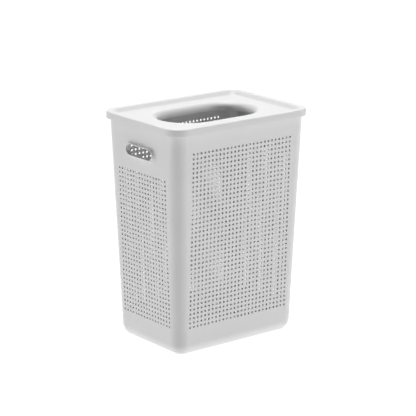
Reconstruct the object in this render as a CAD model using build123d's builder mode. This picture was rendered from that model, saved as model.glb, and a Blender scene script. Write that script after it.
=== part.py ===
"""Laundry hamper: a drafted, perforated tub with two side handles and a lift-off lid with a mouth."""

from build123d import *
from math import cos, radians, tan
import os

# ---- driving dimensions, millimetres and degrees; the floor is z = 0, the centre of the base is the origin
hole_pitch = 12.0  # the square grid of air holes sets the size of every wall
hole_diameter = 6.0
long_columns, long_rows = 27, 39
short_columns, short_rows = 17, 33
first_row_z = 78.0

base_length, base_width = 382.0, 260.0  # sharp outline of the tub at the floor, along X and Y
draft = 2.0  # every wall leans outwards
edge_radius = 33.0  # upright edges and the edge round the bottom
wall = 2.2
base_top_z = 42.0  # the bottom pan ends here and the walls begin
handle_zone_z = first_row_z + short_rows * hole_pitch  # one pitch above the short walls' last row
walls_top_z = 582.0
tub_height = 600.2

flange_reach, flange_thickness = 6.0, 2.2  # turned-out rim under the lid
flange_lip_z = 590.0

slot_length, slot_height = 108.0, 28.0
slot_z = 520.0
collar_reach, collar_thickness = 8.0, 2.6  # the raised edge round each hand slot
collar_foot_radius, collar_crest_radius = 3.0, 0.9

lid_top_z = 603.0
lid_overhang = 11.0
lid_thickness = 2.2
skirt_height = 18.0
skirt_z = lid_top_z - skirt_height
rim_width, rim_slope, rim_height = 17.0, 12.0, 9.0  # flat top, run and drop of the raised border
lid_edge_radius = 3.0
panel_z = lid_top_z - rim_height
mouth_length, mouth_width = 277.0, 154.0
mouth_radius, mouth_depth = 15.0, 20.0  # rolled edge, and how far it hangs below the panel
overrun = 1.0  # cutters run this far past what they cut

lean = tan(radians(draft))
through_wall = wall / cos(radians(draft))  # along the floor, through a leaning wall


def half_length(z):
    return base_length / 2 + z * lean


def half_width(z):
    return base_width / 2 + z * lean


def drafted_block(bottom, top, inset, round_bottom):
    """Block inside the tub's walls, moved inwards by inset, with rounded upright (and bottom) edges."""
    across = inset / cos(radians(draft))
    with BuildPart() as block:
        for z in (bottom, top):
            with BuildSketch(Plane.XY.offset(z)):
                Rectangle(2 * (half_length(z) - across), 2 * (half_width(z) - across))
        loft()
        upright = block.edges().filter_by(lambda edge: abs(edge.tangent_at(0.5).Z) > 0.9)
        rounded = upright + block.faces().sort_by(Axis.Z)[0].edges() if round_bottom else upright
        fillet(rounded, edge_radius - inset)
    return block.part


def tub_shell(bottom, top):
    """The tub's plain wall between two heights; it has its floor when bottom is 0."""
    floor = bottom == 0
    outside = drafted_block(bottom, top, 0, floor)
    inside = drafted_block(bottom + wall if floor else bottom - overrun, top + overrun, wall, floor)
    return outside - inside


def long_wall_plane(side):
    """Outer face of the front (side -1) or back (side 1) wall: local Y climbs the wall from the floor."""
    normal = (0, side * cos(radians(draft)), -lean * cos(radians(draft)))
    return Plane(origin=(0, side * base_width / 2, 0), x_dir=(-side, 0, 0), z_dir=normal)


def short_wall_plane(side):
    """Outer face of the left (side -1) or right (side 1) wall: local Y climbs the wall from the floor."""
    normal = (side * cos(radians(draft)), 0, -lean * cos(radians(draft)))
    return Plane(origin=(side * base_length / 2, 0, 0), x_dir=(0, side, 0), z_dir=normal)


def up_wall(z):
    """Distance along a leaning wall, from the floor to height z."""
    return z / cos(radians(draft))


def flat_of_wall(half_size, bottom, top):
    """Outline of the flat of a wall, between its rounded edges and two heights."""
    low, high = half_size(bottom) - edge_radius, half_size(top) - edge_radius
    corners = [(-low, up_wall(bottom)), (low, up_wall(bottom)), (high, up_wall(top)), (-high, up_wall(top))]
    Polygon(*corners, align=None)


def air_holes(columns, rows):
    """The square grid of air holes, cut out of the sketch of a wall."""
    middle = up_wall(first_row_z) + (rows - 1) * hole_pitch / 2
    with Locations((0, middle)):
        with GridLocations(hole_pitch, hole_pitch, columns, rows):
            Circle(hole_diameter / 2, mode=Mode.SUBTRACT)


def save(piece, name):
    piece.label = name
    export_step(piece, f"parts/{name}.step")


os.makedirs("parts", exist_ok=True)

# ---- tub: bottom pan, with the floor and the rounded bottom edge
pan = tub_shell(0, base_top_z)
with BuildPart() as tub_base:
    add(pan)
save(tub_base.part, "tub_base")

# ---- tub: four rounded upright corners
uprights = tub_shell(base_top_z, walls_top_z)
for end, x_side in (("left", -1), ("right", 1)):
    for face, y_side in (("front", -1), ("back", 1)):
        beside_long_wall = Plane(
            origin=(x_side * (base_length / 2 - edge_radius), 0, 0),
            z_dir=(x_side * cos(radians(draft)), 0, -lean * cos(radians(draft))),
        )
        beside_short_wall = Plane(
            origin=(0, y_side * (base_width / 2 - edge_radius), 0),
            z_dir=(0, y_side * cos(radians(draft)), -lean * cos(radians(draft))),
        )
        with BuildPart() as tub_corner:
            add(uprights)
            split(bisect_by=beside_long_wall, keep=Keep.TOP)
            split(bisect_by=beside_short_wall, keep=Keep.TOP)
        save(tub_corner.part, f"tub_corner_{face}_{end}")

# ---- tub: the two long walls, perforated from near the floor to near the rim
with BuildPart() as front_wall:
    with BuildSketch(long_wall_plane(-1)):
        flat_of_wall(half_length, base_top_z, walls_top_z)
        air_holes(long_columns, long_rows)
    extrude(amount=through_wall, dir=(0, 1, 0))
save(front_wall.part, "front_wall")

with BuildPart() as back_wall:
    mirror(front_wall.part, about=Plane.XZ)
save(back_wall.part, "back_wall")

# ---- tub: the two short walls, perforated up to the handle zone
with BuildPart() as left_wall:
    with BuildSketch(short_wall_plane(-1)):
        flat_of_wall(half_width, base_top_z, handle_zone_z)
        air_holes(short_columns, short_rows)
    extrude(amount=through_wall, dir=(1, 0, 0))
save(left_wall.part, "left_wall")

with BuildPart() as right_wall:
    mirror(left_wall.part, about=Plane.YZ)
save(right_wall.part, "right_wall")

# ---- tub: the plain handle zones, each with a hand slot and a raised collar round it
for end, side in (("left", -1), ("right", 1)):
    outer_face = short_wall_plane(side)
    with BuildPart() as handle:
        with BuildSketch(outer_face):
            flat_of_wall(half_width, handle_zone_z, walls_top_z)
        extrude(amount=through_wall, dir=(-side, 0, 0))
        with BuildSketch(outer_face):
            with Locations((0, up_wall(slot_z))):
                SlotOverall(slot_length + 2 * collar_thickness, slot_height + 2 * collar_thickness)
        extrude(amount=collar_reach)
        outwards = Axis(outer_face.origin, outer_face.z_dir)
        fillet(handle.edges(Select.LAST).group_by(outwards)[0], collar_foot_radius)
        with BuildSketch(outer_face.offset(collar_reach)):
            with Locations((0, up_wall(slot_z))):
                SlotOverall(slot_length, slot_height)
        extrude(amount=-(collar_reach + through_wall + overrun), mode=Mode.SUBTRACT)
        crest = handle.faces().sort_by(outwards)[-1]
        fillet(crest.edges(), collar_crest_radius)
    save(handle.part, f"{end}_handle")

# ---- tub: the rim, with the flange that stiffens it and carries the lid
top_band = tub_shell(walls_top_z, tub_height)
flange_half_length = half_length(tub_height) + flange_reach
flange_half_width = half_width(tub_height) + flange_reach
flange_radius = edge_radius + flange_reach
flange_well = drafted_block(flange_lip_z - overrun, tub_height + overrun, wall / 2, False)
with BuildPart() as tub_rim:
    with BuildSketch(Plane.XY.offset(flange_lip_z)):
        RectangleRounded(2 * flange_half_length, 2 * flange_half_width, flange_radius)
        offset(amount=-flange_thickness, mode=Mode.SUBTRACT)
    extrude(amount=tub_height - flange_lip_z)
    with BuildSketch(Plane.XY.offset(tub_height - flange_thickness)):
        RectangleRounded(2 * flange_half_length, 2 * flange_half_width, flange_radius)
    extrude(amount=flange_thickness)
    add(flange_well, mode=Mode.SUBTRACT)
    add(top_band)
save(tub_rim.part, "tub_rim")

# ---- lid: outline, raised border and skirt
lid_length = 2 * (half_length(skirt_z) + lid_overhang)
lid_width = 2 * (half_width(skirt_z) + lid_overhang)
lid_radius = edge_radius + lid_overhang


def lid_outline(inset):
    """Rounded rectangle that follows the lid's edge, moved inwards."""
    return RectangleRounded(lid_length - 2 * inset, lid_width - 2 * inset, lid_radius - inset)


with BuildPart() as lid_rim:
    with BuildSketch(Plane.XY.offset(skirt_z)):
        lid_outline(0)
    extrude(amount=skirt_height)
    fillet(lid_rim.faces().sort_by(Axis.Z)[-1].edges(), lid_edge_radius)
    with BuildSketch(Plane.XY.offset(skirt_z)):
        lid_outline(lid_thickness)
    extrude(amount=skirt_height - lid_thickness, mode=Mode.SUBTRACT)
    for z, inset in ((panel_z - lid_thickness, rim_width + rim_slope), (lid_top_z, rim_width)):
        with BuildSketch(Plane.XY.offset(z)):
            lid_outline(inset - lid_thickness)
    loft()
    for z, inset in ((panel_z - lid_thickness, rim_width + rim_slope), (panel_z, rim_width + rim_slope)):
        with BuildSketch(Plane.XY.offset(z)):
            lid_outline(inset)
    loft(mode=Mode.SUBTRACT)
    for z, inset in ((panel_z, rim_width + rim_slope), (lid_top_z, rim_width)):
        with BuildSketch(Plane.XY.offset(z)):
            lid_outline(inset)
    loft(mode=Mode.SUBTRACT)
save(lid_rim.part, "lid_rim")

# ---- lid: the sunken panel round the mouth
with BuildPart() as lid_panel:
    with BuildSketch(Plane.XY.offset(panel_z)):
        lid_outline(rim_width + rim_slope)
        SlotOverall(mouth_length + 2 * mouth_radius, mouth_width + 2 * mouth_radius, mode=Mode.SUBTRACT)
    extrude(amount=-lid_thickness)
save(lid_panel.part, "lid_panel")

# ---- lid: the mouth's rolled edge, a J-shaped section carried round the opening
end_centre, half_mouth = (mouth_length - mouth_width) / 2, mouth_width / 2
under_radius = mouth_radius - lid_thickness
with BuildPart() as lid_mouth:
    with BuildLine(Plane.XY.offset(panel_z)) as mouth_outline:
        Line((0, -half_mouth), (end_centre, -half_mouth))
        RadiusArc((end_centre, -half_mouth), (end_centre, half_mouth), -half_mouth)
        Line((end_centre, half_mouth), (-end_centre, half_mouth))
        RadiusArc((-end_centre, half_mouth), (-end_centre, -half_mouth), -half_mouth)
        Line((-end_centre, -half_mouth), (0, -half_mouth))
    with BuildSketch(Plane(origin=(0, -half_mouth, panel_z), x_dir=(0, -1, 0), z_dir=(-1, 0, 0))):
        with BuildLine():
            Line((0, -mouth_depth), (0, -mouth_radius))
            RadiusArc((0, -mouth_radius), (mouth_radius, 0), mouth_radius)
            Line((mouth_radius, 0), (mouth_radius, -lid_thickness))
            RadiusArc((mouth_radius, -lid_thickness), (lid_thickness, -mouth_radius), -under_radius)
            Line((lid_thickness, -mouth_radius), (lid_thickness, -mouth_depth))
            Line((lid_thickness, -mouth_depth), (0, -mouth_depth))
        make_face()
    sweep(path=mouth_outline.wires()[0])
save(lid_mouth.part, "lid_mouth")
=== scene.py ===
"""Laundry hamper with lid: a white perforated tub with two hand slots, and a lift-off lid with a mouth."""

from math import atan2, cos, pi, radians, sin, tan

import bmesh
import bpy
import numpy as np
from mathutils import Matrix, Vector


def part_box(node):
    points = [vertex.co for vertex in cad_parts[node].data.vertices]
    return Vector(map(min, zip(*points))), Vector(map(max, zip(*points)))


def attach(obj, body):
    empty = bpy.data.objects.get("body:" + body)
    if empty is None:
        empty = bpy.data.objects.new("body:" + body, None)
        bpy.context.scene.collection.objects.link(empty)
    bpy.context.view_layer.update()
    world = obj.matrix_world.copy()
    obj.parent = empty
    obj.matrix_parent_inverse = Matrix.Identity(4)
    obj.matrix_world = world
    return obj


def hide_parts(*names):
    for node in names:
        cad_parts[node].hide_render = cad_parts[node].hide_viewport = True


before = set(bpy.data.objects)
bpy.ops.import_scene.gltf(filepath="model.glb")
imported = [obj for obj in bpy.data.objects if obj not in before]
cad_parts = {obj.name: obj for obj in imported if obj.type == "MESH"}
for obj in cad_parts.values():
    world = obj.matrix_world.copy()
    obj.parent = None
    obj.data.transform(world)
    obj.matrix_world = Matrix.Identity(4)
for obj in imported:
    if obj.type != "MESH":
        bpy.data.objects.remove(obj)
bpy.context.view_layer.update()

# ---- dimensions of the frame that the looks are built on, in metres and radians
HOLE_PITCH = 0.012
HOLE_RADIUS = 0.003
LONG_COLUMNS, LONG_ROWS = 27, 39
SHORT_COLUMNS, SHORT_ROWS = 17, 33
FIRST_ROW_Z = 0.078

BASE_LENGTH, BASE_WIDTH = 0.382, 0.260
DRAFT = radians(2)
EDGE_RADIUS = 0.033
WALL = 0.0022
TUB_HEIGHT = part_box("tub_rim")[1][2]
FLANGE_REACH, FLANGE_THICKNESS = 0.006, 0.0022
FLANGE_LIP_Z = 0.590
FLANGE_INNER_ROUND, FLANGE_OUTER_ROUND = 0.0007, 0.0008

SLOT_LENGTH, SLOT_HEIGHT = 0.108, 0.028
SLOT_Z = 0.520
COLLAR_REACH, COLLAR_THICKNESS = 0.008, 0.0026
COLLAR_FOOT_RADIUS, COLLAR_CREST_RADIUS = 0.006, 0.0009
SLOT_INNER_ROUND = 0.0006  # at the wall's inner face

LID_LOW, LID_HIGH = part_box("lid_rim")
LID_OVERHANG = 0.011
LID_RADIUS = EDGE_RADIUS + LID_OVERHANG
LID_THICKNESS = 0.0022
LID_EDGE_RADIUS = 0.003
LID_INNER_ROUND = 0.0012  # under the edge, inside the skirt
LID_UNDERSIDE_SHARE = 0.95  # thickness of the lid's level parts, as a share of LID_THICKNESS
LID_STEP_ROUNDS = 0.008, 0.012  # where the raised border slopes down to the panel, seen from above
LID_STEP_UNDER_ROUNDS = 0.006, 0.014  # and from below
RIM_WIDTH, RIM_SLOPE = 0.017, 0.012
PANEL_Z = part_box("lid_panel")[1][2]
MOUTH_LENGTH, MOUTH_WIDTH = 0.277, 0.154
MOUTH_RADIUS = 0.015
MOUTH_FOOT_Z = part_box("lid_mouth")[0][2]

# ---- fineness of the meshes
HOLE_STEPS = 16  # round one air hole; a quarter of them along each side of its square cell
HOLE_BEVEL = 0.0002
CORNER_STEPS = 16  # round one upright edge
BOTTOM_STEPS = 14  # round the bottom edge
GUARD = 0.0004  # width of the flat strip beside a rounding, which keeps the shading of flats flat
SEAM = 0.00025  # width of the flat strip between a perforated wall and a rounded edge
SMOOTH_ANGLE = radians(40)

SLOPE_Z = cos(DRAFT)  # height gained for each metre up a leaning wall
SLOPE_OUT = sin(DRAFT)  # and how far outwards that is
UPRIGHT_RADIUS = EDGE_RADIUS * cos(DRAFT)  # of the upright edges, in plan


# ---- mesh helpers
def arc(centre, radius, start, end, steps):
    """Points of a circular arc in a section, both ends included; angles in degrees."""
    turns = [radians(start + (end - start) * step / steps) for step in range(steps + 1)]
    return [(centre[0] + radius * cos(turn), centre[1] + radius * sin(turn)) for turn in turns]


def finish_mesh(name, points, faces, material):
    """Object from points and faces: doubles welded, normals outwards, edges sharp only past SMOOTH_ANGLE."""
    mesh = bpy.data.meshes.new(name)
    mesh.from_pydata(points, [], faces)
    solid = bmesh.new()
    solid.from_mesh(mesh)
    bmesh.ops.remove_doubles(solid, verts=solid.verts, dist=1e-6)
    bmesh.ops.recalc_face_normals(solid, faces=solid.faces)
    solid.to_mesh(mesh)
    solid.free()
    mesh.shade_smooth()
    mesh.set_sharp_from_angle(angle=SMOOTH_ANGLE)
    mesh.materials.append(material)
    piece = bpy.data.objects.new(name, mesh)
    bpy.context.scene.collection.objects.link(piece)
    return piece


def bridge(faces, first, second, count):
    """Quads between two closed rings of the same count, given the index of each ring's first point."""
    for step in range(count):
        after = (step + 1) % count
        faces.append((first + step, first + after, second + after, second + step))


# ---- the tub's plan: four flats joined by four rounded edges
HANDLE_REACH = 0.044  # the plain patch round a hand slot runs this far past the slot's end centres
HANDLE_HALF_HEIGHT = 0.036
SLOT_CENTRES = (SLOT_LENGTH - SLOT_HEIGHT) / 2
SLOT_STRAIGHT_STEPS, SLOT_SHOULDER_STEPS, SLOT_END_STEPS = 4, 6, 8
SLOT_UP = SLOT_Z / SLOPE_Z

handle_columns = np.concatenate([
    np.linspace(-SLOT_CENTRES - HANDLE_REACH, -SLOT_CENTRES, SLOT_SHOULDER_STEPS + 1),
    np.linspace(-SLOT_CENTRES, SLOT_CENTRES, SLOT_STRAIGHT_STEPS + 1)[1:-1],
    np.linspace(SLOT_CENTRES, SLOT_CENTRES + HANDLE_REACH, SLOT_SHOULDER_STEPS + 1),
])


def corner_centres(z):
    """Plan distances of the rounded edges' centres from the middle, along X and Y, at a height."""
    spread = z * tan(DRAFT) - UPRIGHT_RADIUS
    return BASE_LENGTH / 2 + spread, BASE_WIDTH / 2 + spread


def flat_columns(side, reach):
    """Positions along one flat (0 front, 1 right, 2 back, 3 left) at which every ring has a point."""
    inner = handle_columns if side % 2 else np.empty(0)
    return np.concatenate([[-reach, SEAM - reach], inner, [reach - SEAM, reach]])


def quarter_turns(x, y, z, turns):
    """The point turned about Z by quarter turns, exactly."""
    for _ in range(turns):
        x, y = -y, x
    return (x, y, z)


def tub_ring(z, radius, centre_z):
    """One ring round the tub, counter-clockwise from above, from the left end of the front flat."""
    centre_x, centre_y = corner_centres(centre_z)
    ring = []
    for side in range(4):
        along, out = (centre_y, centre_x) if side % 2 else (centre_x, centre_y)
        plan = [(u, -out - radius) for u in flat_columns(side, along)]
        for step in range(1, CORNER_STEPS):
            turn = step / CORNER_STEPS * pi / 2
            plan.append((along + radius * sin(turn), -out - radius * cos(turn)))
        for x, y in plan:
            ring.append(quarter_turns(x, y, z, side))
    return ring


def column_kinds():
    """What lies between each point of a ring and the next: (side, part of that side)."""
    kinds = []
    for side in range(4):
        middle = len(handle_columns) - 1 if side % 2 else 1
        beside = ["beside"] if side % 2 else []
        parts = ["seam"] + beside + ["middle"] * middle + beside + ["seam"] + ["corner"] * CORNER_STEPS
        kinds += [(side, part) for part in parts]
    return kinds


# ---- perforated walls
def hole_lines(rows):
    """Distances up a wall of the lines between the rows of holes, and of its bottom and top line."""
    first = FIRST_ROW_Z / SLOPE_Z - HOLE_PITCH / 2
    return first + HOLE_PITCH * np.arange(rows + 1)


def wall_point(side, u, up, depth):
    """Points of a wall from the distance along it, the distance up it and the depth below its outer face."""
    half = (BASE_LENGTH if side % 2 else BASE_WIDTH) / 2
    out = half + up * SLOPE_OUT - depth / SLOPE_Z
    return np.stack(np.broadcast_arrays(*quarter_turns(u, -out, up * SLOPE_Z, side)), axis=-1)


def perforated_wall(name, side, columns, rows, material):
    """A wall with its grid of round holes, each in a square cell of quads, with its edges broken."""
    lines = hole_lines(rows)
    quarter = HOLE_STEPS // 4
    share = np.arange(quarter + 1) / quarter

    def column_line(index, up):
        regular = (index - columns / 2) * HOLE_PITCH
        reach = corner_centres(0)[side % 2] + up * SLOPE_OUT - SEAM
        return np.where(index == 0, -reach, np.where(index == columns, reach, regular))

    row, column = (grid.ravel()[:, None] for grid in np.mgrid[0:rows, 0:columns])
    low, high = lines[row], lines[row + 1]
    up_side = low * (1 - share) + high * share

    def level_side(up):
        left, right = column_line(column, up), column_line(column + 1, up)
        return left * (1 - share) + right * share

    right_u, left_u = column_line(column + 1, up_side), column_line(column, up_side)
    top_u, bottom_u = level_side(high), level_side(low)
    cell_u = np.concatenate([right_u[:, :-1], top_u[:, :0:-1], left_u[:, :0:-1], bottom_u[:, :-1]], axis=1)
    flat = np.ones(quarter)
    cell_up = np.concatenate([up_side[:, :-1], high * flat, up_side[:, :0:-1], low * flat], axis=1)

    turn = -pi / 4 + np.arange(HOLE_STEPS) * 2 * pi / HOLE_STEPS
    middle_u = (column + 0.5 - columns / 2) * HOLE_PITCH
    middle_up = (low + high) / 2

    def circle(radius, depth):
        return wall_point(side, middle_u + radius * np.cos(turn), middle_up + radius * np.sin(turn), depth)

    rings = [
        wall_point(side, cell_u, cell_up, 0),
        circle(HOLE_RADIUS + HOLE_BEVEL, 0),
        circle(HOLE_RADIUS, HOLE_BEVEL),
        circle(HOLE_RADIUS, WALL - HOLE_BEVEL),
        circle(HOLE_RADIUS + HOLE_BEVEL, WALL),
        wall_point(side, cell_u, cell_up, WALL),
    ]
    cells = rows * columns
    points = np.concatenate([ring.reshape(-1, 3) for ring in rings])
    ring_size = cells * HOLE_STEPS
    start = (np.arange(cells) * HOLE_STEPS)[:, None]
    here = start + np.arange(HOLE_STEPS)
    after = start + (np.arange(HOLE_STEPS) + 1) % HOLE_STEPS
    faces = []
    for layer in range(len(rings) - 1):
        outer, inner = layer * ring_size, (layer + 1) * ring_size
        quads = np.stack([here + outer, after + outer, after + inner, here + inner], axis=-1)
        faces.append(quads.reshape(-1, 4))

    back = (len(rings) - 1) * ring_size
    step = np.arange(HOLE_STEPS) // quarter
    border = ((step == 0) & (column == columns - 1)) | ((step == 1) & (row == rows - 1))
    border |= ((step == 2) & (column == 0)) | ((step == 3) & (row == 0))
    edge, edge_after = here[border], after[border]
    faces.append(np.stack([edge, edge_after, edge_after + back, edge + back], axis=-1))

    unique, index = np.unique(points, axis=0, return_inverse=True)
    welded = index.ravel()[np.concatenate(faces)]
    return finish_mesh(name, unique.tolist(), welded.tolist(), material)


# ---- the rest of the tub: floor, rounded edges, hand slots and rim, one closed surface
def window_levels():
    """Distances up the wall of the points on the upright sides of a hand slot's plain patch."""
    regular = SLOT_UP + np.linspace(-1, 1, SLOT_END_STEPS + 1) * HANDLE_HALF_HEIGHT
    return np.sort(np.append(regular, hole_lines(LONG_ROWS)[-1]))


def tub_levels():
    """Heights of the rings up the walls, and the index of each one at which an opening starts or ends."""
    window = window_levels()
    marks = {
        "first": hole_lines(1)[0],
        "short_top": hole_lines(SHORT_ROWS)[-1],
        "long_top": hole_lines(LONG_ROWS)[-1],
        "slot_low": window[0],
        "slot_high": window[-1],
    }
    levels = sorted({*marks.values(), *window})
    return [up * SLOPE_Z for up in levels], {name: levels.index(up) for name, up in marks.items()}


def bottom_section(radius):
    """Rings of the rounded bottom edge, from the floor to the wall: (height, plan radius, centre height)."""
    tangent_z = EDGE_RADIUS * (1 - sin(DRAFT))
    section = []
    for step in range(BOTTOM_STEPS + 1):
        turn = pi / 2 + (DRAFT - pi / 2) * step / BOTTOM_STEPS
        section.append((EDGE_RADIUS - radius * sin(turn), radius * cos(turn), tangent_z))
    return section


def rim_section():
    """Rings of the turned-out rim, from the outer face of the wall over the top to its inner face."""
    top = TUB_HEIGHT
    under, reach = top - FLANGE_THICKNESS, FLANGE_REACH
    round_in, round_out = FLANGE_INNER_ROUND, FLANGE_OUTER_ROUND
    lip = FLANGE_THICKNESS / 2
    inner_lip = reach - FLANGE_THICKNESS
    outline = arc((round_in, under - round_in), round_in, 180, 90, 3)
    outline += arc((inner_lip - round_in, under - round_in), round_in, 90, 0, 3)
    outline += [(inner_lip, FLANGE_LIP_Z + lip + GUARD)]
    outline += arc((reach - lip, FLANGE_LIP_Z + lip), lip, 180, 360, 6)
    outline += [(reach, FLANGE_LIP_Z + lip + GUARD), (reach, top - round_out - GUARD)]
    outline += arc((reach - round_out, top - round_out), round_out, 0, 90, 4)
    inner_face = -WALL / SLOPE_Z
    outline += [(reach - round_out - GUARD, top), (inner_face + round_out + GUARD, top)]
    outline += arc((inner_face + round_out, top - round_out), round_out, 90, 180, 4)
    return [(z, UPRIGHT_RADIUS + out, top) for out, z in outline]


def stadium(half_straight, radius, straight_steps, end_steps):
    """Plan of a stadium, counter-clockwise from the bottom of its right end."""
    plan = []
    for side in (1, -1):
        for step in range(end_steps):
            turn = -pi / 2 + pi * step / end_steps
            plan.append((side * (half_straight + radius * cos(turn)), side * radius * sin(turn)))
        for step in range(straight_steps):
            plan.append((side * half_straight * (1 - 2 * step / straight_steps), side * radius))
    return plan


def handle_window():
    """Outline of the plain patch round a hand slot, point for point with the slot's stadium."""
    far = SLOT_CENTRES + HANDLE_REACH
    shoulder = handle_columns[-SLOT_SHOULDER_STEPS - 1:]
    straight = handle_columns[SLOT_SHOULDER_STEPS:-SLOT_SHOULDER_STEPS]
    plan = []
    for side in (1, -1):
        upright = (window_levels() - SLOT_UP)[::side]
        plan += [(side * u, -side * HANDLE_HALF_HEIGHT) for u in shoulder[:-1]]
        plan += [(side * far, up) for up in upright[:-1]]
        plan += [(side * u, side * HANDLE_HALF_HEIGHT) for u in shoulder[:0:-1]]
        plan += [(side * u, side * HANDLE_HALF_HEIGHT) for u in straight[:0:-1]]
    return plan


def collar_section():
    """Section of a hand slot's raised edge: (distance outside the slot's outline, height off the wall)."""
    crest, foot, thick = COLLAR_CREST_RADIUS, COLLAR_FOOT_RADIUS, COLLAR_THICKNESS
    inner_edge = SLOT_INNER_ROUND
    section = [(thick + foot + GUARD, 0)]
    section += arc((thick + foot, foot), foot, 270, 180, 6)
    section += [(thick, foot + GUARD), (thick, COLLAR_REACH - crest - GUARD)]
    section += arc((thick - crest, COLLAR_REACH - crest), crest, 0, 90, 4)
    section += arc((crest, COLLAR_REACH - crest), crest, 90, 180, 4)
    section += [(0, COLLAR_REACH - crest - GUARD), (0, inner_edge + GUARD - WALL)]
    section += arc((inner_edge, inner_edge - WALL), inner_edge, 180, 270, 3)
    section += [(inner_edge + GUARD, -WALL)]
    return section


def add_hand_slot(side, points, faces):
    """The plain patch, the raised edge and the slot itself, from the wall's outer face to its inner face."""
    end_steps = 2 * SLOT_SHOULDER_STEPS + len(window_levels()) - 1
    window = handle_window()
    rings = [(window, 0)]
    for out, height in collar_section():
        plan = stadium(SLOT_CENTRES, SLOT_HEIGHT / 2 + out, SLOT_STRAIGHT_STEPS, end_steps)
        rings.append((plan, height))
    rings.append((window, -WALL))
    starts = []
    for plan, height in rings:
        starts.append(len(points))
        for u, up in plan:
            points.append(tuple(wall_point(side, u, SLOT_UP + up, -height).tolist()))
    for first, second in zip(starts, starts[1:]):
        bridge(faces, first, second, len(window))


def tub_body(material):
    """Floor, rounded edges, plain parts of the walls, hand slots and rim, with openings for the walls."""
    heights, level = tub_levels()
    inner_radius = UPRIGHT_RADIUS - WALL / SLOPE_Z
    rounding, inner_rounding = bottom_section(EDGE_RADIUS), bottom_section(EDGE_RADIUS - WALL)
    guard_z = rounding[-1][0] + GUARD
    top_guard_z = TUB_HEIGHT - FLANGE_THICKNESS - FLANGE_INNER_ROUND - GUARD
    wall_heights = [guard_z] + heights + [top_guard_z]
    outer = rounding + [(z, UPRIGHT_RADIUS, z) for z in wall_heights]
    inner = inner_rounding + [(z, inner_radius, z) for z in wall_heights]
    sections = outer + rim_section() + inner[::-1]

    kinds = column_kinds()
    count = len(kinds)
    points, faces = [], []
    for z, radius, centre_z in sections:
        points += tub_ring(z, radius, centre_z)

    offset = len(rounding) + 1
    last = len(sections) - 1

    def opening(row, column):
        """The name of what is let into the tub's surface at this place, or None."""
        side, part = kinds[column % count]
        above = row - offset
        if part not in ("beside", "middle") or above < level["first"]:
            return None
        if side % 2 == 0:
            return "wall" if part == "middle" and above < level["long_top"] else None
        if above < level["short_top"]:
            return "wall"
        in_slot = part == "middle" and level["slot_low"] <= above < level["slot_high"]
        return "slot" if in_slot else None

    def ring_point(row, column):
        return row * count + column % count

    outer_rows = len(outer) - 1
    for row in range(last):
        mirrored = row if row < outer_rows else last - 1 - row
        inside_wall = mirrored < outer_rows
        for column in range(count):
            if inside_wall and opening(mirrored, column):
                continue
            low, high = ring_point(row, column), ring_point(row + 1, column)
            faces.append((low, ring_point(row, column + 1), ring_point(row + 1, column + 1), high))

    def close(start, end):
        """A face through the wall along an edge of an opening."""
        (row_a, column_a), (row_b, column_b) = start, end
        faces.append((
            ring_point(row_a, column_a), ring_point(row_b, column_b),
            ring_point(last - row_b, column_b), ring_point(last - row_a, column_a),
        ))

    for row in range(offset, outer_rows):
        for column in range(count):
            here, beside, above = opening(row, column), opening(row, column + 1), opening(row + 1, column)
            below = opening(row - 1, column)
            if (here == "wall") != (beside == "wall"):
                close((row, column + 1), (row + 1, column + 1))
            if here == "wall" and below != "wall":
                close((row, column), (row, column + 1))
            if here == "wall" and above != "wall":
                close((row + 1, column), (row + 1, column + 1))

    for first in (0, last * count):
        floor = []
        for column in range(count):
            index = first + column
            if not floor or (Vector(points[index]) - Vector(points[floor[-1]])).length > 1e-6:
                floor.append(index)
        faces.append(tuple(floor))

    for side in (1, 3):
        add_hand_slot(side, points, faces)
    return finish_mesh("tub_body", points, faces, material)


# ---- the lid
LID_LONG_STEPS, LID_CORNER_STEPS, LID_SHORT_STEPS = 10, 24, 14
MOUTH_STRAIGHT_STEPS = 12


def by_quadrants(quadrant):
    """A closed ring from the points of its first quadrant, from the X axis up to the Y axis."""
    mirrored = [(-x, y) for x, y in reversed(quadrant)][1:]
    upper = quadrant + mirrored
    lower = [(x, -y) for x, y in reversed(upper)][1:-1]
    return upper + lower


def lid_ring(inset):
    """Plan of the lid's outline, moved inwards."""
    half_x, half_y, radius = LID_HIGH[0] - inset, LID_HIGH[1] - inset, LID_RADIUS - inset
    short, corner = LID_SHORT_STEPS, LID_CORNER_STEPS
    quadrant = [(half_x, (half_y - radius) * step / short) for step in range(short)]
    quadrant += arc((half_x - radius, half_y - radius), radius, 0, 90, corner)
    long_side = LID_LONG_STEPS
    quadrant += [((half_x - radius) * (1 - step / long_side), half_y) for step in range(1, long_side + 1)]
    return by_quadrants(quadrant)


def mouth_ring(out):
    """Plan of the mouth, moved outwards, point for point with lid_ring."""
    centre = (MOUTH_LENGTH - MOUTH_WIDTH) / 2
    radius = MOUTH_WIDTH / 2 + out
    straight = MOUTH_STRAIGHT_STEPS
    end = LID_LONG_STEPS + LID_CORNER_STEPS + LID_SHORT_STEPS - straight
    quadrant = arc((centre, 0), radius, 0, 90, end)
    quadrant += [(centre * (1 - step / straight), radius) for step in range(1, straight + 1)]
    return by_quadrants(quadrant)


def soft_step(start, end, first_radius, second_radius, steps):
    """Section of a slope between two level stretches; start and end are its corners before rounding."""
    run, drop = end[0] - start[0], start[1] - end[1]
    slope = atan2(drop, run)
    degrees = slope * 180 / pi
    first_cut, second_cut = first_radius * tan(slope / 2), second_radius * tan(slope / 2)
    upper = arc((start[0] - first_cut, start[1] - first_radius), first_radius, 90, 90 - degrees, steps)
    lower = arc((end[0] + second_cut, end[1] + second_radius), second_radius, 270 - degrees, 270, steps)
    return upper + lower


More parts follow.
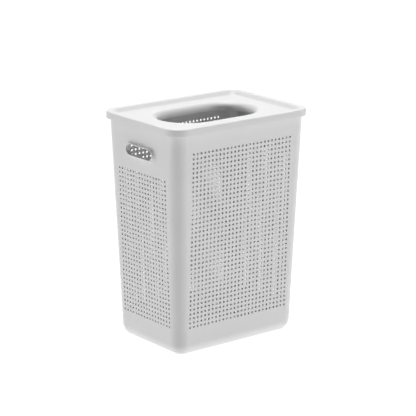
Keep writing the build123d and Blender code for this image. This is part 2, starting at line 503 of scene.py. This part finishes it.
def lid_sections():
    """The lid's section in three runs: from the skirt's foot over the top, the mouth, and back underneath."""
    top, foot = LID_HIGH[2], LID_LOW[2]
    thick, edge = LID_THICKNESS, LID_EDGE_RADIUS
    lip = thick / 2
    slope_foot = RIM_WIDTH + RIM_SLOPE
    over = [(0, foot + lip + GUARD), (0, top - edge - GUARD)]
    over += arc((edge, top - edge), edge, 180, 90, 7)
    over += [(edge + GUARD, top)]
    step_over = soft_step((RIM_WIDTH, top), (slope_foot, PANEL_Z), *LID_STEP_ROUNDS, 6)
    over += [(step_over[0][0] - GUARD, top)] + step_over + [(step_over[-1][0] + GUARD, PANEL_Z)]

    thin = thick * LID_UNDERSIDE_SHARE
    inner = LID_INNER_ROUND
    under_start = (RIM_WIDTH - thick / 3, top - thin)
    under_end = (slope_foot - thick / 3, PANEL_Z - thin)
    step_under = soft_step(under_start, under_end, *LID_STEP_UNDER_ROUNDS, 6)
    under = [(step_under[-1][0] + GUARD, PANEL_Z - thin)] + step_under[::-1]
    under += [(step_under[0][0] - GUARD, top - thin), (thick + inner + GUARD, top - thin)]
    under += arc((thick + inner, top - thin - inner), inner, 90, 180, 4)
    under += [(thick, foot + lip + GUARD)]
    under += arc((lip, foot + lip), lip, 0, -180, 8)

    roll = [(MOUTH_RADIUS + GUARD, PANEL_Z)]
    roll += arc((MOUTH_RADIUS, PANEL_Z - MOUTH_RADIUS), MOUTH_RADIUS, 90, 180, 14)
    roll += [(0, PANEL_Z - MOUTH_RADIUS - GUARD)]
    roll += arc((lip, MOUTH_FOOT_Z + lip), lip, 180, 360, 8)
    roll += [(thick, PANEL_Z - MOUTH_RADIUS - GUARD)]
    roll += arc((MOUTH_RADIUS, PANEL_Z - MOUTH_RADIUS), MOUTH_RADIUS - thin, 180, 90, 10)
    roll += [(MOUTH_RADIUS + GUARD, PANEL_Z - thin)]
    return over, roll, under


def lid_shell(material):
    """The whole lid as one closed surface of rings."""
    over, roll, under = lid_sections()
    rings = [(lid_ring(inset), z) for inset, z in over]
    rings += [(mouth_ring(out), z) for out, z in roll]
    rings += [(lid_ring(inset), z) for inset, z in under]
    count = len(rings[0][0])
    points = [(x, y, z) for ring, z in rings for x, y in ring]
    faces = []
    for index in range(len(rings)):
        bridge(faces, index * count, (index + 1) % len(rings) * count, count)
    return finish_mesh("lid_shell", points, faces, material)


# ---- materials
def node_material(name):
    """New material, with its node tree and its shader."""
    material = bpy.data.materials.new(name)
    material.use_nodes = True
    tree = material.node_tree
    return material, tree, tree.nodes["Principled BSDF"]


GRAIN_SCALE = 1400


def moulded_plastic(name, light, shade):
    """Satin white polypropylene: spark-eroded grain, faint waviness and slight variation of tone."""
    material, tree, shader = node_material(name)
    nodes, link = tree.nodes, tree.links.new
    place = nodes.new("ShaderNodeTexCoord").outputs["Object"]

    def noise(scale, detail, rough):
        texture = nodes.new("ShaderNodeTexNoise")
        texture.inputs["Scale"].default_value = scale
        texture.inputs["Detail"].default_value = detail
        texture.inputs["Roughness"].default_value = rough
        link(place, texture.inputs["Vector"])
        return texture.outputs["Fac"]

    def ramp(value, low, high):
        mapped = nodes.new("ShaderNodeMapRange")
        mapped.inputs["From Min"].default_value = 0.3
        mapped.inputs["From Max"].default_value = 0.7
        mapped.inputs["To Min"].default_value = low
        mapped.inputs["To Max"].default_value = high
        link(value, mapped.inputs["Value"])
        return mapped.outputs["Result"]

    def bump(height, strength, distance, normal=None):
        node = nodes.new("ShaderNodeBump")
        node.inputs["Strength"].default_value = strength
        node.inputs["Distance"].default_value = distance
        link(height, node.inputs["Height"])
        if normal:
            link(normal, node.inputs["Normal"])
        return node.outputs["Normal"]

    blend = nodes.new("ShaderNodeMix")
    blend.data_type = "RGBA"
    blend.inputs["A"].default_value = (*shade, 1)
    blend.inputs["B"].default_value = (*light, 1)
    link(ramp(noise(9, 3, 0.5), 0, 1), blend.inputs["Factor"])
    link(blend.outputs["Result"], shader.inputs["Base Color"])
    link(ramp(noise(35, 4, 0.6), 0.38, 0.47), shader.inputs["Roughness"])
    waves = bump(noise(14, 1, 0.3), 0.25, 0.0006)
    grain = bump(noise(GRAIN_SCALE, 2, 0.5), 0.12, 0.00008, waves)
    link(grain, shader.inputs["Normal"])
    shader.inputs["IOR"].default_value = 1.49
    return material


def floor_material():
    """Luminous white studio floor, like a light table, so that shadows on it stay very faint."""
    material, tree, shader = node_material("studio_floor")
    texture = tree.nodes.new("ShaderNodeTexNoise")
    texture.inputs["Scale"].default_value = 3
    tones = tree.nodes.new("ShaderNodeMix")
    tones.data_type = "RGBA"
    tones.inputs["A"].default_value = (0.055, 0.055, 0.055, 1)
    tones.inputs["B"].default_value = (0.065, 0.065, 0.065, 1)
    tree.links.new(texture.outputs["Fac"], tones.inputs["Factor"])
    tree.links.new(tones.outputs["Result"], shader.inputs["Base Color"])
    shader.inputs["Roughness"].default_value = 0.9
    shader.inputs["Emission Color"].default_value = (1, 1, 1, 1)
    shader.inputs["Emission Strength"].default_value = 1.0
    return material


# ---- studio
FLOOR_RADIUS = 20.0
CAMERA_AZIMUTH, CAMERA_ELEVATION = radians(-38.19), radians(15.33)
CAMERA_DISTANCE, CAMERA_ROLL = 5.015, 0.0015
CAMERA_LENS = 166.58  # millimetres, on a sensor 36 mm wide
CAMERA_TARGET = Vector((0.0049, -0.0007, 0.3380))
SKY_LIGHTS = (  # azimuth and elevation in degrees, sharpness, strength
    (151, 76, 40, 19.5),
    (46, 14, 25, 5.0),
    (-137, 22, 25, 4.5),
    (142, 16, 10, 1.1),
)


def studio_floor():
    """A wide round floor under the hamper."""
    mesh = bpy.data.meshes.new("studio_floor")
    disc = bmesh.new()
    bmesh.ops.create_circle(disc, cap_ends=True, segments=96, radius=FLOOR_RADIUS)
    disc.to_mesh(mesh)
    disc.free()
    mesh.materials.append(floor_material())
    floor = bpy.data.objects.new("studio_floor", mesh)
    bpy.context.scene.collection.objects.link(floor)


def spherical(azimuth, elevation, distance):
    """Offset of a camera or light at an azimuth (0 is in front, positive to the right) and an elevation."""
    level = distance * cos(elevation)
    return Vector((level * sin(azimuth), -level * cos(azimuth), distance * sin(elevation)))


def aim(item, target, roll=0.0):
    """Turns a camera or light towards a point."""
    look = (target - item.location).to_track_quat("-Z", "Y").to_matrix().to_4x4()
    item.matrix_world = Matrix.Translation(item.location) @ look @ Matrix.Rotation(roll, 4, "Z")


def sky_lobe(tree, azimuth, elevation, sharpness, strength):
    """Brightness of a soft light in the sky, strongest at one direction and fading smoothly round it."""
    axis = spherical(radians(azimuth), radians(elevation), 1)
    facing = tree.nodes.new("ShaderNodeVectorMath")
    facing.operation = "DOT_PRODUCT"
    facing.inputs[1].default_value = axis
    tree.links.new(tree.nodes["Sky direction"].outputs["Generated"], facing.inputs[0])
    value = facing.outputs["Value"]
    for operation, operand in (("MAXIMUM", 0), ("POWER", sharpness), ("MULTIPLY", strength)):
        step = tree.nodes.new("ShaderNodeMath")
        step.operation = operation
        step.inputs[1].default_value = operand
        tree.links.new(value, step.inputs[0])
        value = step.outputs["Value"]
    return value


def studio_light():
    """A dark studio with a soft light overhead and three low soft lights round the hamper."""
    world = bpy.data.worlds.new("studio")
    world.use_nodes = True
    tree = world.node_tree
    direction = tree.nodes.new("ShaderNodeTexCoord")
    direction.name = "Sky direction"
    total = None
    for azimuth, elevation, sharpness, strength in SKY_LIGHTS:
        value = sky_lobe(tree, azimuth, elevation, sharpness, strength)
        if total:
            together = tree.nodes.new("ShaderNodeMath")
            together.operation = "ADD"
            tree.links.new(total, together.inputs[0])
            tree.links.new(value, together.inputs[1])
            value = together.outputs["Value"]
        total = value
    tree.links.new(total, tree.nodes["Background"].inputs["Strength"])
    tree.nodes["Background"].inputs["Color"].default_value = (1, 1, 1, 1)
    bpy.context.scene.world = world
    bpy.context.scene.view_settings.view_transform = "Standard"


def camera(target):
    """The camera, far off with a long lens, a little above the lid."""
    data = bpy.data.cameras.new("camera")
    data.sensor_width = 36
    data.lens = CAMERA_LENS
    data.clip_end = 60
    item = bpy.data.objects.new("camera", data)
    bpy.context.scene.collection.objects.link(item)
    item.location = target + spherical(CAMERA_AZIMUTH, CAMERA_ELEVATION, CAMERA_DISTANCE)
    aim(item, target, CAMERA_ROLL)
    bpy.context.scene.camera = item


# ---- the hamper
def build_hamper():
    """Every piece of the tub and the lid, each on its body and in place of its CAD nodes."""
    tub_plastic = moulded_plastic("tub_plastic", (0.77, 0.77, 0.77), (0.745, 0.745, 0.745))
    lid_plastic = moulded_plastic("lid_plastic", (0.77, 0.77, 0.77), (0.75, 0.75, 0.75))

    walls = [
        ("front_panel", 0, LONG_COLUMNS, LONG_ROWS, "front_wall"),
        ("right_panel", 1, SHORT_COLUMNS, SHORT_ROWS, "right_wall"),
        ("back_panel", 2, LONG_COLUMNS, LONG_ROWS, "back_wall"),
        ("left_panel", 3, SHORT_COLUMNS, SHORT_ROWS, "left_wall"),
    ]
    for name, side, columns, rows, node in walls:
        panel = perforated_wall(name, side, columns, rows, tub_plastic)
        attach(panel, "tub")
        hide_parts(node)

    body = tub_body(tub_plastic)
    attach(body, "tub")
    corners = [f"tub_corner_{face}_{end}" for face in ("front", "back") for end in ("left", "right")]
    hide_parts("tub_base", *corners, "left_handle", "right_handle", "tub_rim")

    lid = lid_shell(lid_plastic)
    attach(lid, "lid")
    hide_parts("lid_rim", "lid_panel", "lid_mouth")


camera(CAMERA_TARGET)
studio_floor()
studio_light()
build_hamper()
